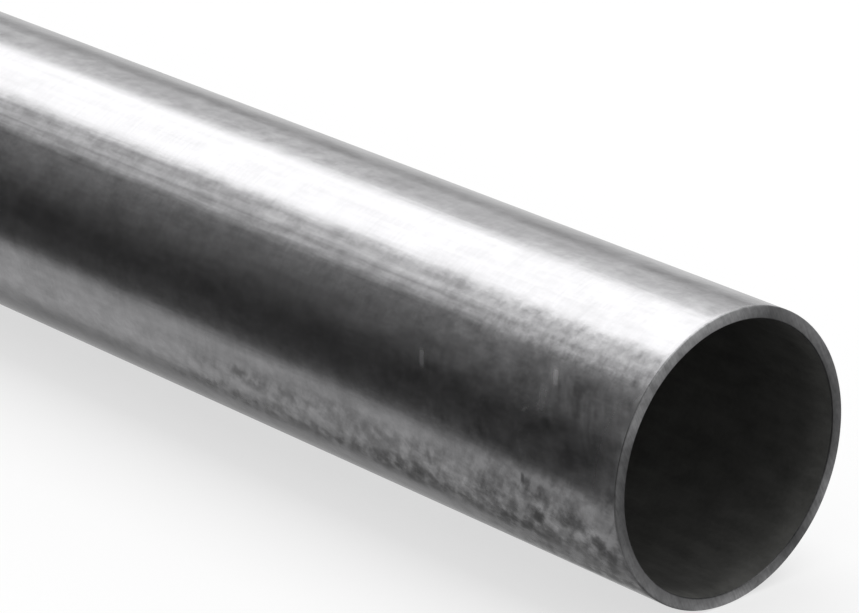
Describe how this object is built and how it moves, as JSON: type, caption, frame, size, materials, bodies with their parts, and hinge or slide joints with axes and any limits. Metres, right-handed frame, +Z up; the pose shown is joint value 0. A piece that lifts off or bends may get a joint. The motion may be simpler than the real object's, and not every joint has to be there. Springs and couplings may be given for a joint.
{
  "type": "steel conduit tube",
  "caption": "Straight thin-wall round steel conduit tube with plain cut ends, rounded outer edges, reamed bore and a low inside weld bead.",
  "frame": {"origin": "on the tube's axis, at the middle of its length", "axes": "+X along the tube, +Z up, +Y to the side"},
  "size_m": [3.048, 0.0382, 0.0384],
  "materials": {
    "bright_steel": "bright zinc-coated steel with fine lengthwise drawing marks and a mottled sheen, matt cut ends, dark coated bore"
  },
  "bodies": {
    "root": {"conduit_tube": "bright_steel"}
  },
  "joints": []
}
